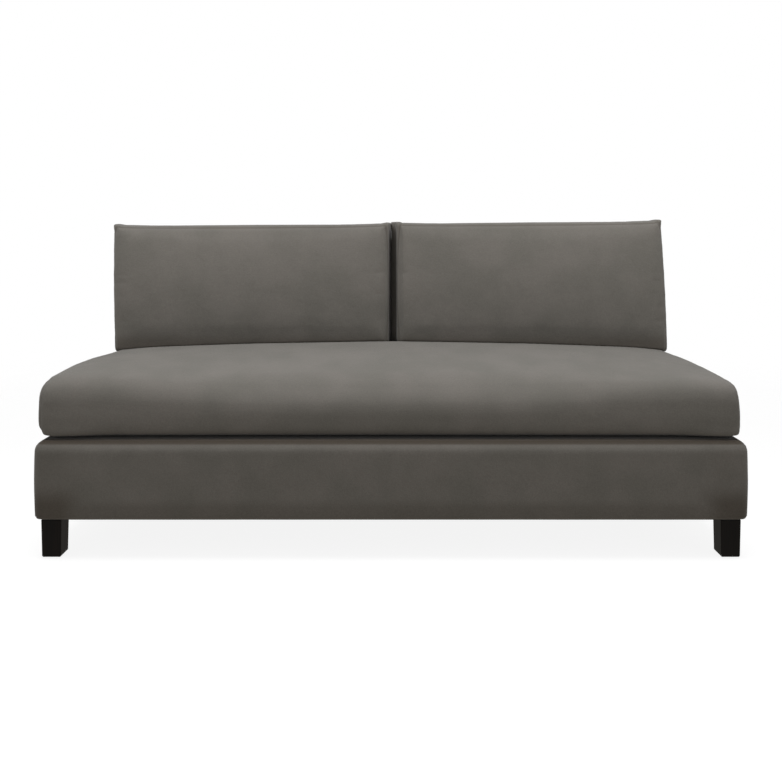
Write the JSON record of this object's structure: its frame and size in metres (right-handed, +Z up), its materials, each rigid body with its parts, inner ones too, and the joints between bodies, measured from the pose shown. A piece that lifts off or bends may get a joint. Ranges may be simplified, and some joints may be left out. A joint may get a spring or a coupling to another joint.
{
  "type": "armless sofa",
  "caption": "Armless sofa: a bench seat cushion and loose back cushions on an upholstered wood frame with zigzag springs and short square legs.",
  "frame": {"origin": "on the floor, in the middle of the bounding box", "axes": "+Z up, -Y is the way the sofa faces, +X to the right of someone looking at its front"},
  "size_m": [1.83, 0.8462, 0.8649],
  "materials": {
    "cover_fabric": "matte",
    "foam": "matte",
    "padding": "matte",
    "frame_wood": "matte",
    "leg_wood": "satin",
    "spring_steel": "satin",
    "felt": "matte",
    "deck_fabric": "matte",
    "dust_cloth": "matte",
    "webbing": "matte",
    "glide_nylon": "satin",
    "zip_tape": "matte",
    "zip_metal": "satin"
  },
  "bodies": {
    "frame": {"front_border_cover": "cover_fabric", "left_border_cover": "cover_fabric", "right_border_cover": "cover_fabric", "inside_back_cover": "cover_fabric", "outside_back_cover": "cover_fabric", "front_border_pad": "padding", "left_border_pad": "padding", "right_border_pad": "padding", "inside_back_pad": "padding", "deck_pad": "padding", "front_seat_rail": "frame_wood", "rear_seat_rail": "frame_wood", "left_end_rail": "frame_wood", "right_end_rail": "frame_wood", "left_stretcher": "frame_wood", "right_stretcher": "frame_wood", "corner_blocks": "frame_wood", "left_back_post": "frame_wood", "right_back_post": "frame_wood", "centre_back_post": "frame_wood", "back_top_rail": "frame_wood", "left_tuck_rail": "frame_wood", "right_tuck_rail": "frame_wood", "front_left_leg": "leg_wood", "front_right_leg": "leg_wood", "rear_left_leg": "leg_wood", "rear_right_leg": "leg_wood", "seat_springs": "spring_steel", "spring_clips": "spring_steel", "spring_tie_wires": "spring_steel", "leg_bolts": "spring_steel", "leg_plates": "spring_steel", "spring_insulator": "felt", "deck_cloth": "deck_fabric", "dust_cover": "dust_cloth", "back_webbing": "webbing", "leg_glides": "glide_nylon"},
    "seat_cushion": {"seat_cushion_cover": "cover_fabric", "seat_cushion_core": "foam", "seat_zip": "zip_tape"},
    "left_back_cushion": {"left_back_cover": "cover_fabric", "left_back_core": "foam", "left_back_zip": "zip_tape"},
    "right_back_cushion": {"right_back_cover": "cover_fabric", "right_back_core": "foam", "right_back_zip": "zip_tape"},
    "seat_zip_slider": {"seat_zip_slider": "zip_metal"},
    "left_back_zip_slider": {"left_back_zip_slider": "zip_metal"},
    "right_back_zip_slider": {"right_back_zip_slider": "zip_metal"}
  },
  "joints": [
    {"name": "seat_cushion_slide", "type": "slide", "parent": "frame", "child": "seat_cushion", "axis": [0, -1, 0], "range_m": [0, 0.5]},
    {"name": "left_back_cushion_lift", "type": "slide", "parent": "frame", "child": "left_back_cushion", "axis": [0, 0.1132, 0.9936], "range_m": [0, 0.3]},
    {"name": "right_back_cushion_lift", "type": "slide", "parent": "frame", "child": "right_back_cushion", "axis": [0, 0.1132, 0.9936], "range_m": [0, 0.3]},
    {"name": "seat_zip_travel", "type": "slide", "parent": "seat_cushion", "child": "seat_zip_slider", "axis": [1, 0, 0], "range_m": [0, 1.48]},
    {"name": "left_back_zip_travel", "type": "slide", "parent": "left_back_cushion", "child": "left_back_zip_slider", "axis": [1, 0, 0], "range_m": [0, 0.57]},
    {"name": "right_back_zip_travel", "type": "slide", "parent": "right_back_cushion", "child": "right_back_zip_slider", "axis": [1, 0, 0], "range_m": [0, 0.57]}
  ]
}
